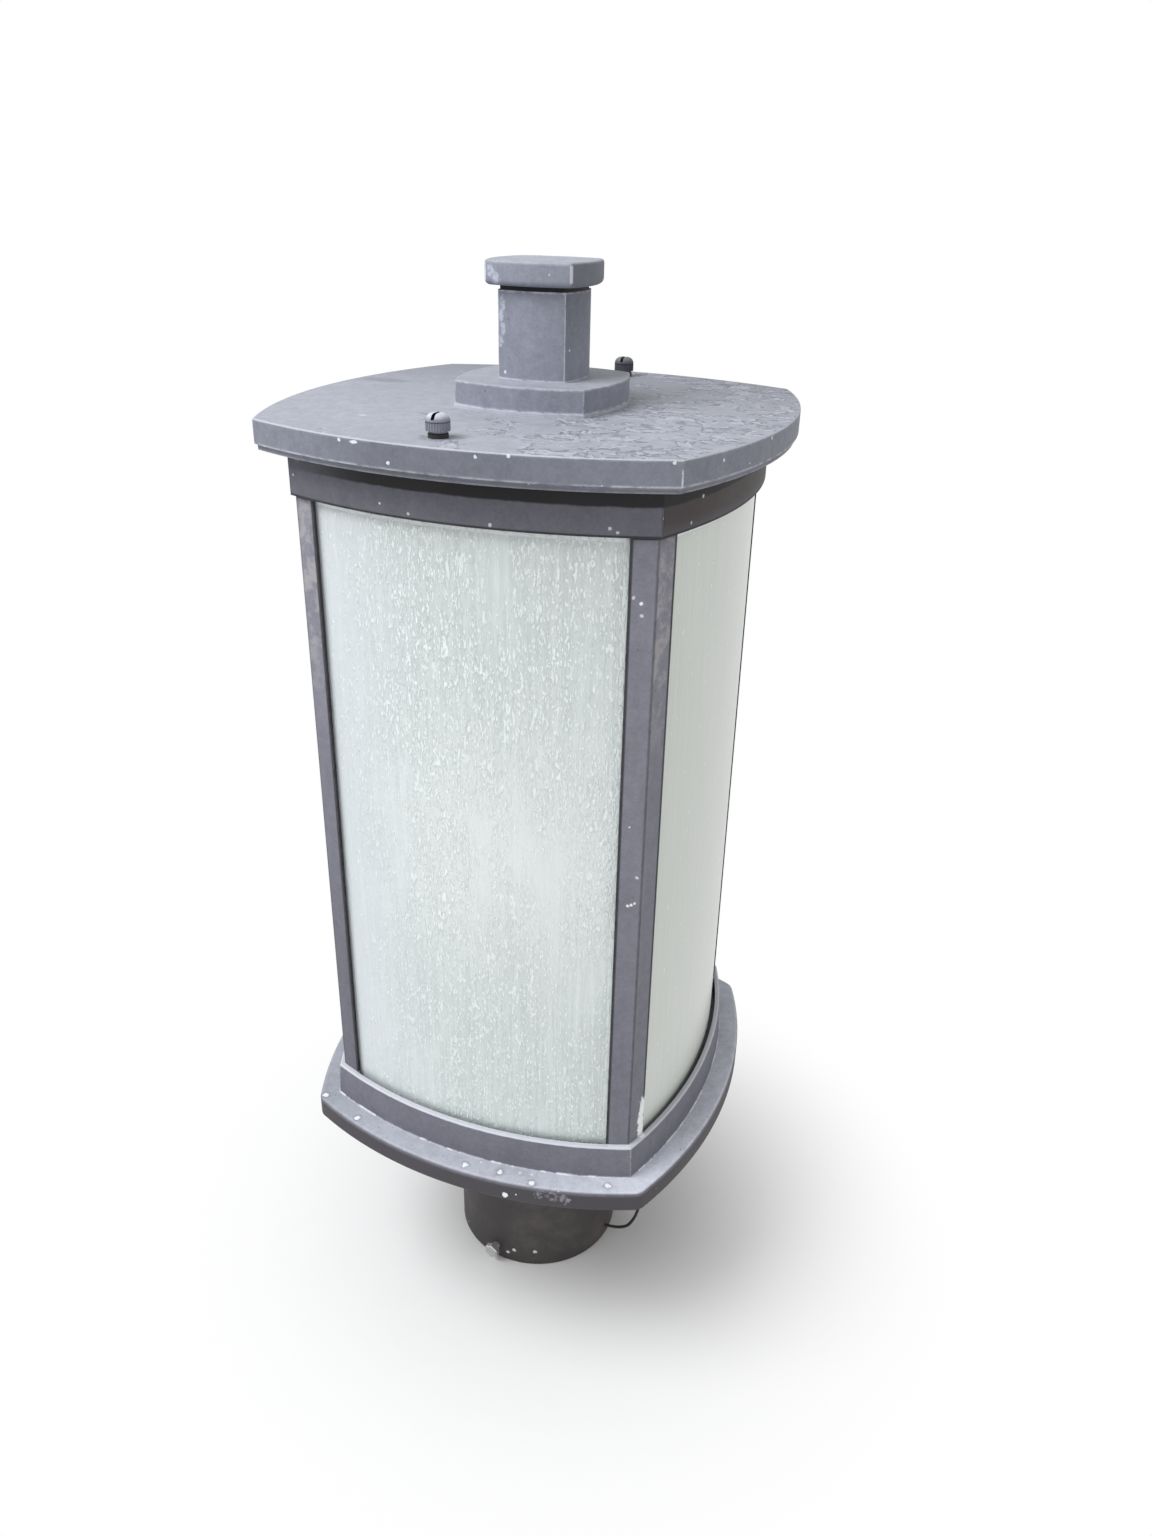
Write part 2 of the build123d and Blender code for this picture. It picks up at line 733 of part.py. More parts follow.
nodes = {
    "base_casting": make_base(),
    "post_fitter": make_fitter(),
    "fitter_flange": make_fitter_flange(),
    "fitter_screws": make_fitter_screws(),
    "top_ring": make_top_ring(),
    "post_screws": make_post_screws(),
    "glass_clips": make_clips(),
    "clip_screws": make_clip_screws(),
    "roof_cover": make_roof(),
    "roof_gasket": make_gasket(),
    "finial_plate": make_finial_plate(),
    "finial_column": make_finial_column(),
    "finial_cap": make_finial_cap(),
    "finial_rod": make_finial_rod(),
    "finial_washer": make_finial_washer(),
    "finial_nut": make_finial_nut(),
    "socket_bracket": make_bracket(),
    "bracket_screws": make_bracket_screws(),
    "socket_nipple": make_nipple(),
    "nipple_nuts": make_nipple_nuts(),
    "lampholder_body": make_holder(),
    "lampholder_shell": make_screw_shell(),
    "lampholder_contact": make_contact(),
    "lamp_base": make_lamp_base(),
    "lamp_bulb": make_bulb(),
    "ground_lead": make_lead(),
    "ground_lug": make_lug(),
    "ground_screw": make_ground_screw(),
}
for corner, name in enumerate(("rear_right", "rear_left", "front_left", "front_right")):
    nodes[f"corner_post_{name}"] = make_post(corner)
for side, name in enumerate(("right", "rear", "left", "front")):
    nodes[f"glass_{name}"] = make_glass(side)
for azimuth, name in zip(set_screw_turns(), ("front", "right", "rear")):
    nodes[f"set_screw_{name}"] = make_set_screw(azimuth)
for place, name in zip(thumb_places(), ("front", "rear")):
    nodes[f"thumb_screw_{name}"] = make_thumb_screw(place)
    nodes[f"thumb_washer_{name}"] = make_thumb_washer(place)

os.makedirs("parts", exist_ok=True)
for name, shape in nodes.items():
    solid = Compound(children=shape) if isinstance(shape, list) else shape
    export_step(solid, f"parts/{name}.step")
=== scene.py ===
"""Looks of the post lantern: weathered paint, seeded bent glass, metal fittings and the photograph's view."""
import json
import math

import bpy
from mathutils import Matrix, Vector


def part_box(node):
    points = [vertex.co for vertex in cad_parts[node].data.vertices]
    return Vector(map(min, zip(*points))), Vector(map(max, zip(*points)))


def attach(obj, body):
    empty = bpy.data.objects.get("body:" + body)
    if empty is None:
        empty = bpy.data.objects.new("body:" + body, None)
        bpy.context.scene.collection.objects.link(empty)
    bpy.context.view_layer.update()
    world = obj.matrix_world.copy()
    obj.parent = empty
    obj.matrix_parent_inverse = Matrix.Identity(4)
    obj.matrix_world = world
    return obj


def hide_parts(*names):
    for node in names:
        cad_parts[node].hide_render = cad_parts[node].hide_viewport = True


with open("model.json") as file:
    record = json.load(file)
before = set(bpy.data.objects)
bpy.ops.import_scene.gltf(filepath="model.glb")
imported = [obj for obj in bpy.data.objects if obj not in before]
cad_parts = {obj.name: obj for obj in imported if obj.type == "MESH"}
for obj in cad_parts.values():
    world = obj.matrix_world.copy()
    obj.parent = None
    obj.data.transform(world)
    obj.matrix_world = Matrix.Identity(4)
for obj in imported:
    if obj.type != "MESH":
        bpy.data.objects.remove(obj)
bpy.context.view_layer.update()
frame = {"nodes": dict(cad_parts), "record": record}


def colour(red, green, blue):
    """Linear colour from the 0 to 255 values seen on a screen."""
    def linear(value):
        value = value / 255
        return value / 12.92 if value <= 0.04045 else ((value + 0.055) / 1.055) ** 2.4
    return (linear(red), linear(green), linear(blue), 1.0)


# Camera, matched to the lantern's outlines in the 1152 x 1536 photograph
IMAGE_HEIGHT = 1536
FOCAL_PIXELS = 1175.5
SENSOR = 36.0
CLIP_START = 0.01
CAMERA_AT = Vector((0.18421, -0.45246, 0.51993))
CAMERA_YAW = math.radians(20.30)
CAMERA_PITCH = math.radians(26.44)
CAMERA_ROLL = math.radians(1.23)

# Ground lead: the route's control points, in metres
LEAD_POINTS = [
    (0.0600, 0.0000, 0.1099),
    (0.0604, -0.0004, 0.08792),
    (0.0615, -0.0012, 0.062643),
    (0.0616, -0.0028, 0.038465),
    (0.0590, -0.0046, 0.017584),
    (0.0520, -0.0060, 0.0065),
    (0.0393, -0.0060, 0.0065),
]
LEAD_RADIUS = 0.0008
LEAD_ROUNDNESS = 4
LEAD_STEPS = 24
LEAD_ORDER = 3

# Levels and edges, read from the solids
SKIRT_HEIGHT = 0.0101
CAP_GAP_HEIGHT = 0.0018
LEDGE_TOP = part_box("base_casting")[0].z + SKIRT_HEIGHT
PLINTH_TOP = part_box("base_casting")[1].z
RING_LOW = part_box("top_ring")[0].z
LIP_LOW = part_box("roof_cover")[0].z
ROOF_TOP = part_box("roof_cover")[1].z
NECK_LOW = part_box("finial_column")[1].z
NECK_HIGH = NECK_LOW + CAP_GAP_HEIGHT
POST_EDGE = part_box("corner_post_front_right")[0].x

# Thumb screws: levels of the painted shade at the neck, the top's rim and the slot, and the slot's distance
# from x = 0
THUMB_NECK_SHADED = 0.0003
THUMB_DOME_HEIGHT = 0.0028
THUMB_SLOT_DEPTH = 0.0019
THUMB_SLOT_AT = 0.0050
THUMB_SLOT_HALF = 0.0006
THUMB_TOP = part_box("thumb_screw_front")[1].z
THUMB_RIM = THUMB_TOP - THUMB_DOME_HEIGHT
THUMB_SLOT_FLOOR = THUMB_TOP - THUMB_SLOT_DEPTH
THUMB_NECK_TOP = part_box("thumb_washer_front")[1].z + THUMB_NECK_SHADED
THUMB_NECK_TO = (THUMB_NECK_TOP + 0.0001, THUMB_NECK_TOP - 0.0001)
THUMB_RIM_BAND = (THUMB_RIM - 0.0003, THUMB_RIM + 0.0002)
THUMB_SLOT_TO = (THUMB_SLOT_HALF + 0.00008, THUMB_SLOT_HALF + 0.00004)
THUMB_SLOT_FROM = (THUMB_SLOT_FLOOR - 0.0001, THUMB_SLOT_FLOOR - 0.00005)
THUMB_REAR_FROM = (-0.01, 0.01)

# Bowed square of the posts' outer faces: half width at the corners, and bow at mid side
POST_HALF = 0.0724
POST_BOW = 0.014
BOW_RADIUS = (POST_HALF ** 2 + POST_BOW ** 2) / (2 * POST_BOW)
BOW_CENTRE = POST_HALF + POST_BOW - BOW_RADIUS

# Bands of painted light and shade, and of wear: where each begins and is full, or begins and ends, in metres
POST_BAND = (PLINTH_TOP, RING_LOW)
POST_WEAR_FROM = (0.31, 0.37)
LEFT_POST_SHADE_FROM = (-0.05, -0.06)
LEFT_WEAR_FROM = (0.0, -0.02)
BESIDE_GLASS = (POST_EDGE + 0.0015, POST_EDGE + 0.0007)
CORNER_LINE = (0.0012, 0.0003)
ABOVE_PLINTH = (PLINTH_TOP, PLINTH_TOP + 0.001)
RIM_FROM = (PLINTH_TOP - 0.0010, PLINTH_TOP - 0.0004)
RIM_TO = (PLINTH_TOP + 0.0002, PLINTH_TOP + 0.0001)
PLINTH_BAND = (LEDGE_TOP + 0.0006, PLINTH_TOP)
PLINTH_FOOT = 0.0033
FOOT_LINE = (PLINTH_FOOT - 0.0003, PLINTH_FOOT + 0.0005)
FOOT_BAND = (LEDGE_TOP - 0.0004, LEDGE_TOP + 0.0006)
LEDGE_BAND = (LEDGE_TOP - 0.0006, LEDGE_TOP + 0.0004)
LEDGE_SHADE_ACROSS = (-0.09, -0.01)
LEDGE_LIGHT_ACROSS = (0.03, 0.095)
SKIRT_SHADE_FROM = (LEDGE_TOP - 0.0008, LEDGE_TOP - 0.0030)
RING_SHADE_FROM = (RING_LOW, RING_LOW + 0.0004)
UNDER_RING = (RING_LOW - 0.0010, RING_LOW + 0.0008)
RIGHT_SHADOW_FROM = (RING_LOW - 0.006, LIP_LOW - 0.012)
RIGHT_SHADOW_TO = (LIP_LOW + 0.0035, LIP_LOW + 0.0025)
LIP_SHADOW_BAND = (LIP_LOW - 0.0071, LIP_LOW + 0.0030)
LIP_SHADOW_ACROSS = (-0.075, -0.030)
RAGGED = 0.0014
HEM_TO = (LIP_LOW + 0.0014, LIP_LOW + 0.0008)
LIP_TO = (ROOF_TOP, ROOF_TOP - 0.001)
LIP_SHADE_ACROSS = (-0.035, 0.045)
EDGE_BAND = (ROOF_TOP - 0.0012, ROOF_TOP + 0.0001)
ROOF_LEVEL_TO = (ROOF_TOP + 0.0004, ROOF_TOP + 0.0001)
ROOF_REAR_FROM = (-0.02, 0.10)
RIPPLES_ACROSS = (-0.095, 0.060)
BEAD_BAND = (ROOF_TOP + 0.0001, ROOF_TOP + 0.0012)
FINIAL_FROM = (ROOF_TOP + 0.0006, ROOF_TOP + 0.0012)
FLANK_RISE = (ROOF_TOP + 0.006, NECK_HIGH)
CAP_SHADE_BAND = (NECK_LOW + 0.0001, NECK_HIGH)

# Soft ends of the bands, in metres
CRISP = 0.0001
BAND_SOFT = 0.0002
JOINT_SOFT = 0.0003
POST_SOFT = 0.0004
LIP_SHADOW_SOFT = 0.0005
LIP_SHADE_SOFT = 0.02

# Marks of wear: places in millimetres, radii in metres, shapes drawn out along the axes below 1
LEDGE_DROPS = [
    (-79.9, -79.9, 119.7), (-57.9, -88.0, 119.7), (2.6, -95.8, 119.7), (19.1, -93.8, 119.7),
    (35.0, -94.4, 119.7), (67.1, -83.3, 119.7), (23.6, -98.6, 112.0),
]
LEDGE_DROP_RADIUS = 0.0017
# Radius of the painted shadow ring around the ledge drops
LEDGE_DROP_SHADOW_RADIUS = 0.0026
CAGE_DROPS = [
    (56.9, -80.0, 415.1), (59.5, -79.2, 413.8), (-16.2, -87.4, 414.0), (15.6, -87.5, 413.7),
    (74.0, -74.2, 419.1), (79.6, -58.2, 414.5), (81.5, -51.4, 422.7), (64.8, -75.3, 390.4),
    (67.8, -74.2, 383.9), (70.5, -73.2, 275.6), (-71.4, -75.1, 420.0), (27.7, -90.8, 119.7),
    (33.0, -89.8, 119.7), (8.8, -91.4, 119.7),
]
POST_SCRATCHES = [(67.4, -74.3, 262.4), (68.8, -73.8, 263.0), (70.1, -73.4, 263.7), (67.4, -74.4, 388.3)]
SMALL_DROP_RADIUS = 0.0008
CAGE_CHIPS = [(75.5, -64.2, 152.0), (75.3, -64.9, 146.0), (75.3, -64.6, 140.0)]
CAGE_CHIP_RADIUS = 0.0027
CAGE_CHIP_SHAPE = (1.0, 1.0, 0.4)
SKIRT_SCUFFS = [(39.6, -95.9, 115.7), (44.9, -94.8, 115.4), (50.5, -93.3, 114.4)]
SCUFF_RADIUS = 0.0032
ROOF_DROPS = [
    (-36.7, -96.5, 439.5), (-16.5, -99.3, 434.1), (27.3, -98.1, 440.2), (16.0, -99.3, 439.1),
    (79.3, -83.2, 440.0), (90.1, -61.4, 437.8), (98.4, -25.3, 439.6), (-10.6, -14.9, 453.7),
]
ROOF_DASHES = [(-30.6, -97.6, 439.6), (-49.7, -58.5, 441.0)]
DASH_RADIUS = 0.0007
DASH_SHAPE = (0.35, 1.0, 1.0)
ROOF_STAINS = [(-84.3, 21.1, 441.0)]
STAIN_RADIUS = 0.007
STAIN_SHAPE = (0.5, 1.0, 1.0)
FINIAL_CHIPS = [(-11.6, -14.6, 478.7), (-12.4, -14.6, 474.4), (-11.4, -14.6, 469.6), (-12.6, -14.6, 465.0)]
FINIAL_CHIP_RADIUS = 0.0015
FINIAL_CHIP_SHAPE = (1.0, 1.0, 0.5)
CAP_CHIPS = [(-14.7, -18.0, 490.2), (-12.0, -19.0, 487.6)]
CAP_CHIP_RADIUS = 0.0026
FITTER_DROPS = [(-0.5, -42.2, 5.9), (3.0, -42.1, 8.7), (14.1, -39.7, 9.5)]
FITTER_DROP_RADIUS = 0.0012
PAINT_EDGE_RADIUS = 0.0016
FITTER_EDGE_RADIUS = 0.001

# Patterns: waves or cells per metre along each axis
PAINT_RUNS = (120.0, 120.0, 9.0)
ROOF_RIPPLES = (95.0, 130.0, 60.0)
SEED_CLUSTERS = (40.0, 40.0, 15.0)
FINE_SEEDS = (900.0, 900.0, 330.0)
COARSE_SEEDS = (560.0, 560.0, 240.0)
GLASS_FLECKS = (800.0, 800.0, 210.0)
GLASS_STREAKS = (800.0, 800.0, 22.0)
METAL_SCRATCHES = (400.0, 400.0, 60.0)

# Areas of the glass, in metres: right glass, dense seeds, left tint, a painted highlight across the middle,
# and white rims
RIGHT_GLASS_FROM = (0.066, 0.069)
SEEDS_ACROSS = (-0.070, -0.010)
SEEDS_UP = (0.18, 0.30)
LEFT_TINT_FROM = (-0.005, -0.055)
HIGHLIGHT_BAND = (0.235, 0.325)
HIGHLIGHT_BAND_SOFT = 0.05
HIGHLIGHT_ACROSS = (-0.055, -0.005)
GLASS_RIM_SHIFT = 0.0026
GLASS_RIM_ACROSS = (-0.03, 0.03)
GLASS_SIDE_RIM = (POST_EDGE - 0.0014, POST_EDGE - 0.0008)
GLASS_TOP_RIM = (RING_LOW - 0.0028, RING_LOW - 0.0020)
GLASS_IOR = 1.5

# Colours of the grey paint on cage and roof, and of its wear; the level colours, on faces that look up, are
# partly chalk and partly painted top light
CAGE_SIDE = colour(116, 116, 127)
CAGE_LEVEL = colour(188, 191, 202)
ROOF_SIDE = colour(130, 133, 145)
ROOF_LEVEL = colour(166, 169, 180)
WORN_EDGE = colour(216, 218, 226)
PIT = colour(62, 62, 68)
SPECK = colour(222, 224, 228)

# Colours of marks on the cage
# Painted shade on the ring
RING_PAINTED_SHADE = colour(58, 57, 64)
# Painted shadow of the lip on the ring's right face, brownish
RIGHT_LIP_SHADOW = colour(56, 48, 46)
# Painted shadow just under the roof's lip
LIP_SHADOW = colour(20, 18, 20)
# Painted shade on the skirt
SKIRT_PAINTED_SHADE = colour(66, 63, 67)
RUBBED_POST = colour(178, 175, 174)
# Painted shadow in the gaps beside the glass and under the ring, and along the corners
GAP_SHADOW = colour(30, 28, 32)
# Painted highlight on the plinth's top rim
PLINTH_RIM_HIGHLIGHT = colour(218, 220, 228)
SCUFF = colour(196, 198, 206)
CAGE_WHITE = colour(244, 245, 248)

# Colours of marks on roof and finial
ROOF_REAR = colour(120, 122, 132)
ROOF_EDGE = colour(212, 214, 222)
# Painted shade on the hem under the lip
HEM_PAINTED_SHADE = colour(104, 105, 114)
RIPPLE_CREST = colour(80, 82, 93)
RIPPLE_SLOPE = colour(206, 208, 218)
ROOF_STAIN = colour(96, 98, 106)
FINIAL_BEAD = colour(214, 216, 224)
PALE_CORNER = colour(222, 224, 230)
# Painted shade in the gap under the finial's cap
CAP_GAP_SHADE = colour(22, 21, 24)
FLAKE = colour(198, 203, 218)
ROOF_WHITE = colour(234, 235, 239)

# Colours of thumb screws, fitter and glass
THUMB_SIDE = colour(140, 142, 155)
THUMB_DOME = colour(196, 198, 210)
# Painted shade in the thumb screws' slot, at the top's rim and on the neck
THUMB_PAINTED_SHADE = colour(28, 27, 29)
FITTER_PAINT = colour(62, 59, 59)
FITTER_DUST = colour(86, 82, 80)
FITTER_SPECK = colour(214, 214, 212)
FITTER_WEAR = colour(120, 116, 112)
GLASS_DIM = colour(212, 223, 222)
GLASS_PALE = colour(230, 238, 237)
GLASS_LEFT = colour(222, 227, 233)
GLASS_RIGHT = colour(218, 222, 214)
# Painted highlight at mid height on the front glass
GLASS_MIDDLE_HIGHLIGHT = colour(240, 245, 245)
GLASS_WHITE = colour(247, 255, 255)
BULB_DIM = colour(238, 238, 232)
BULB_PALE = colour(250, 250, 246)

# Metals: colour and middle roughness
METALS = {
    "zinc": (colour(200, 200, 196), 0.42),
    "spring_steel": (colour(150, 150, 152), 0.42),
    "bracket_steel": (colour(186, 186, 182), 0.40),
    "brass": (colour(206, 172, 96), 0.34),
    "screw_shell": (colour(214, 214, 216), 0.30),
}

# Rubber, glaze and jacket: colour, middle roughness, grains per metre and depth of the grain
DULL_SOLIDS = {
    "porcelain": (colour(236, 234, 226), 0.22, 300.0, 0.00004),
    "black_rubber": (colour(38, 37, 37), 0.75, 900.0, 0.0001),
    "lead_jacket": (colour(46, 42, 40), 0.55, 800.0, 0.00005),
}

# Light and floor
WHITE = (1.0, 1.0, 1.0, 1.0)
WORLD_LEVEL = 0.47
KEY_POWER = 31.0
KEY_SIZE = 1.1
KEY_AT = Vector((-0.75, -0.80, 1.75))
KEY_TINT = (0.97, 0.99, 1.0)
FILL_POWER = 4.0
FILL_SIZE = 1.2
FILL_AT = Vector((1.4, -0.6, 0.35))
FILL_TINT = (1.0, 0.95, 0.90)
AIM = Vector((0.0, 0.0, 0.27))
FLOOR_HALF = 8.0
FLOOR_DIM = (0.88, 0.88, 0.88, 1.0)
FLOOR_PALE = (0.9, 0.9, 0.9, 1.0)
FLOOR_ROUGHNESS = 0.9
FLOOR_NEAR = 0.045
FLOOR_FAR = 0.24


class Nodes:
    """A node tree, built from small steps that give sockets."""

    def __init__(self, tree):
        self.tree = tree

    def add(self, kind, **settings):
        node = self.tree.nodes.new(kind)
        for key, value in settings.items():
            setattr(node, key, value)
        return node

    def feed(self, socket, value):
        """Links a socket to the input, or sets a constant on it."""
        if isinstance(value, bpy.types.NodeSocket):
            self.tree.links.new(value, socket)
        elif socket.type == "VECTOR":
            socket.default_value = value[:3]
        else:
            socket.default_value = value

    def math(self, operation, first, second=0.0):
        node = self.add("ShaderNodeMath", operation=operation)
        self.feed(node.inputs[0], first)
        self.feed(node.inputs[1], second)
        return node.outputs[0]

    def times(self, first, *others):
        """Product of all values."""
        for other in others:
            first = self.math("MULTIPLY", first, other)
        return first

    def most(self, first, *others):
        """Largest of all values."""
        for other in others:
            first = self.math("MAXIMUM", first, other)
        return first


class Shader(Nodes):
    """One node material, whose patterns lie still on the piece."""

    def __init__(self, name):
        self.material = bpy.data.materials.new(name)
        self.material.use_nodes = True
        super().__init__(self.material.node_tree)
        self.tree.nodes.clear()
        self.surface = self.add("ShaderNodeBsdfPrincipled")
        self.output = self.add("ShaderNodeOutputMaterial")
        self.tree.links.new(self.surface.outputs["BSDF"], self.output.inputs["Surface"])
        self.place = self.add("ShaderNodeTexCoord").outputs["Object"]

    def set(self, **values):
        """Sets or links the main shader's sockets, with underscores for spaces."""
        for key, value in values.items():
            self.feed(self.surface.inputs[key.replace("_", " ")], value)

    def step(self, value, low, high):
        """Smooth rise from 0 at low to 1 at high."""
        node = self.add("ShaderNodeMapRange", interpolation_type="SMOOTHSTEP")
        self.feed(node.inputs["Value"], value)
        self.feed(node.inputs["From Min"], low)
        self.feed(node.inputs["From Max"], high)
        return node.outputs[0]

    def window(self, value, low, high, soft):
        """1 between low and high, 0 outside, with soft ends."""
        rise = self.step(value, low - soft, low + soft)
        return self.times(rise, self.step(value, high + soft, high - soft))

    def span(self, value, low, high):
        """Straight line from low at 0 to high at 1."""
        node = self.add("ShaderNodeMath", operation="MULTIPLY_ADD")
        self.feed(node.inputs[0], value)
        node.inputs[1].default_value = high - low
        node.inputs[2].default_value = low
        return node.outputs[0]

    def sway(self, value, swing, amount):
        """Value plus the given amount of a swing about one half."""
        node = self.add("ShaderNodeMath", operation="MULTIPLY_ADD")
        self.feed(node.inputs[0], self.math("SUBTRACT", swing, 0.5))
        node.inputs[1].default_value = amount
        self.feed(node.inputs[2], value)
        return node.outputs[0]

    def stretched(self, scale, shift=(0.0, 0.0, 0.0)):
        """Place times a scale for each axis, plus a shift."""
        node = self.add("ShaderNodeVectorMath", operation="MULTIPLY_ADD")
        self.feed(node.inputs[0], self.place)
        self.feed(node.inputs[1], scale)
        self.feed(node.inputs[2], shift)
        return node.outputs[0]

    def warped(self, place, scale, amount):
        """Place shifted a little by a noise, for uneven shapes."""
        wave = self.add("ShaderNodeTexNoise")
        self.feed(wave.inputs["Vector"], self.place)
        self.feed(wave.inputs["Scale"], scale)
        node = self.add("ShaderNodeVectorMath", operation="MULTIPLY_ADD")
        self.feed(node.inputs[0], wave.outputs["Color"])
        self.feed(node.inputs[1], (amount, amount, amount))
        self.feed(node.inputs[2], place)
        return node.outputs[0]

    def noise(self, scale, detail=3.0, roughness=0.55, place=None):
        node = self.add("ShaderNodeTexNoise")
        self.feed(node.inputs["Vector"], place or self.place)
        self.feed(node.inputs["Scale"], scale)
        self.feed(node.inputs["Detail"], detail)
        self.feed(node.inputs["Roughness"], roughness)
        return node.outputs["Fac"]

    def drawn_noise(self, scale, detail, roughness=0.55):
        """Noise with a scale of its own along each axis."""
        return self.noise(1.0, detail, roughness, self.stretched(scale))

    def cells(self, scale, place=None):
        """Distance to the nearest of scattered points, and a random number for that point."""
        node = self.add("ShaderNodeTexVoronoi")
        self.feed(node.inputs["Vector"], place or self.place)
        self.feed(node.inputs["Scale"], scale)
        split = self.add("ShaderNodeSeparateColor")
        self.feed(split.inputs[0], node.outputs["Color"])
        return node.outputs["Distance"], split.outputs[0]

    def dots(self, scale, radius, share, place=None):
        """Scattered round dots on a share of the cells."""
        distance, pick = self.cells(scale, place)
        spot = self.step(distance, radius, 0.7 * radius)
        return self.times(spot, self.math("LESS_THAN", pick, share))

    def spots(self, places, radius, shape=(1.0, 1.0, 1.0)):
        """Spots with ragged rims at places in millimetres, drawn out along the shape's axes below 1."""
        nearest = 1.0
        for place in places:
            length = self.add("ShaderNodeVectorMath", operation="LENGTH")
            shift = [-0.001 * value * factor for value, factor in zip(place, shape)]
            self.feed(length.inputs[0], self.stretched(shape, shift))
            nearest = self.math("MINIMUM", length.outputs["Value"], nearest)
        ragged = self.sway(nearest, self.noise(700.0), 1.4 * radius)
        return self.step(ragged, radius, 0.6 * radius)

    def mix(self, share, first, second):
        """First colour where share is 0, second where it is 1."""
        node = self.add("ShaderNodeMix", data_type="RGBA")
        self.feed(node.inputs[0], share)
        self.feed(node.inputs[6], first)
        self.feed(node.inputs[7], second)
        return node.outputs[2]

    def cover(self, base, share, strength, cover):
        """Base colour under another one, which is as strong as given where share is 1."""
        return self.mix(self.times(share, strength), base, cover)

    def scaled(self, base, factor):
        """Colour times a number that varies over the surface."""
        node = self.add("ShaderNodeVectorMath", operation="SCALE")
        self.feed(node.inputs[0], base)
        self.feed(node.inputs["Scale"], factor)
        return node.outputs[0]

    def toned(self, base, share, factor):
        """Colour times a factor where share is 1, and as it is where share is 0."""
        return self.scaled(base, self.span(share, 1.0, factor))

    def facing(self, name):
        """Part of the surface's direction along one axis."""
        node = self.add("ShaderNodeSeparateXYZ")
        self.feed(node.inputs[0], self.add("ShaderNodeNewGeometry").outputs["Normal"])
        return node.outputs[name]

    def axis(self, name):
        """One coordinate of the place."""
        node = self.add("ShaderNodeSeparateXYZ")
        self.feed(node.inputs[0], self.place)
        return node.outputs[name]

    def off(self, name):
        """Distance from the middle along one axis."""
        return self.math("ABSOLUTE", self.axis(name))

    def along(self):
        """Distance from mid side, along whichever side is nearest."""
        return self.math("MINIMUM", self.off("X"), self.off("Y"))

    def layer(self):
        """Distance outside the posts' bowed outer faces."""
        arm = self.add("ShaderNodeCombineXYZ")
        self.feed(arm.inputs["X"], self.along())
        self.feed(arm.inputs["Y"], self.math("SUBTRACT", self.most(self.off("X"), self.off("Y")), BOW_CENTRE))
        reach = self.add("ShaderNodeVectorMath", operation="LENGTH")
        self.feed(reach.inputs[0], arm.outputs[0])
        return self.math("SUBTRACT", reach.outputs["Value"], BOW_RADIUS)

    def edges(self, radius):
        """1 along sharp edges, 0 elsewhere."""
        bevel = self.add("ShaderNodeBevel", samples=6)
        self.feed(bevel.inputs["Radius"], radius)
        dot = self.add("ShaderNodeVectorMath", operation="DOT_PRODUCT")
        self.feed(dot.inputs[0], bevel.outputs[0])
        self.feed(dot.inputs[1], self.add("ShaderNodeNewGeometry").outputs["True Normal"])
        return self.step(dot.outputs["Value"], 0.985, 0.90)

    def bump(self, height, distance, strength):
        node = self.add("ShaderNodeBump")
        self.feed(node.inputs["Height"], height)
        self.feed(node.inputs["Distance"], distance)
        self.feed(node.inputs["Strength"], strength)
        self.feed(self.surface.inputs["Normal"], node.outputs[0])


def weathered_paint(name, side, level, marks):
    """Chalky grey powder coat: pale where it faces up, partly chalk and partly painted top light, mottled,
    worn along its edges, with its own marks.
    """
    shader = Shader(name)
    cloud = shader.noise(22.0, detail=5.0, roughness=0.6)
    blotch = shader.noise(260.0, detail=3.0, roughness=0.65)
    grain = shader.noise(900.0, detail=2.0)
    tone = shader.span(cloud, 0.74, 1.08)
    tone = shader.sway(tone, blotch, 0.42)
    tone = shader.sway(tone, grain, 0.30)
    tone = shader.sway(tone, shader.drawn_noise(PAINT_RUNS, detail=4.0), 0.22)
    # Paler on faces that look up: partly chalk, partly painted top light
    chalk_and_top_light = shader.step(shader.facing("Z"), 0.3, 0.95)
    base = shader.scaled(shader.mix(chalk_and_top_light, side, level), tone)
    rub = shader.noise(160.0, detail=4.0, roughness=0.7)
    wear = shader.times(shader.edges(PAINT_EDGE_RADIUS), shader.step(rub, 0.36, 0.58))
    base = shader.cover(base, wear, 0.65, WORN_EDGE)
    base = shader.cover(base, shader.dots(330.0, 0.16, 0.10), 0.45, PIT)
    base, raised = marks(shader, base)
    specks = shader.dots(210.0, 0.11, 0.07)
    base = shader.mix(specks, base, SPECK)
    shader.set(Base_Color=base, Roughness=shader.span(cloud, 0.50, 0.75), Specular_IOR_Level=0.32)
    relief = shader.math("ADD", shader.times(grain, 0.35), shader.times(blotch, 0.3))
    raised = shader.math("ADD", raised, shader.times(specks, 0.8))
    shader.bump(shader.math("ADD", relief, raised), 0.00025, 0.6)
    return shader.material


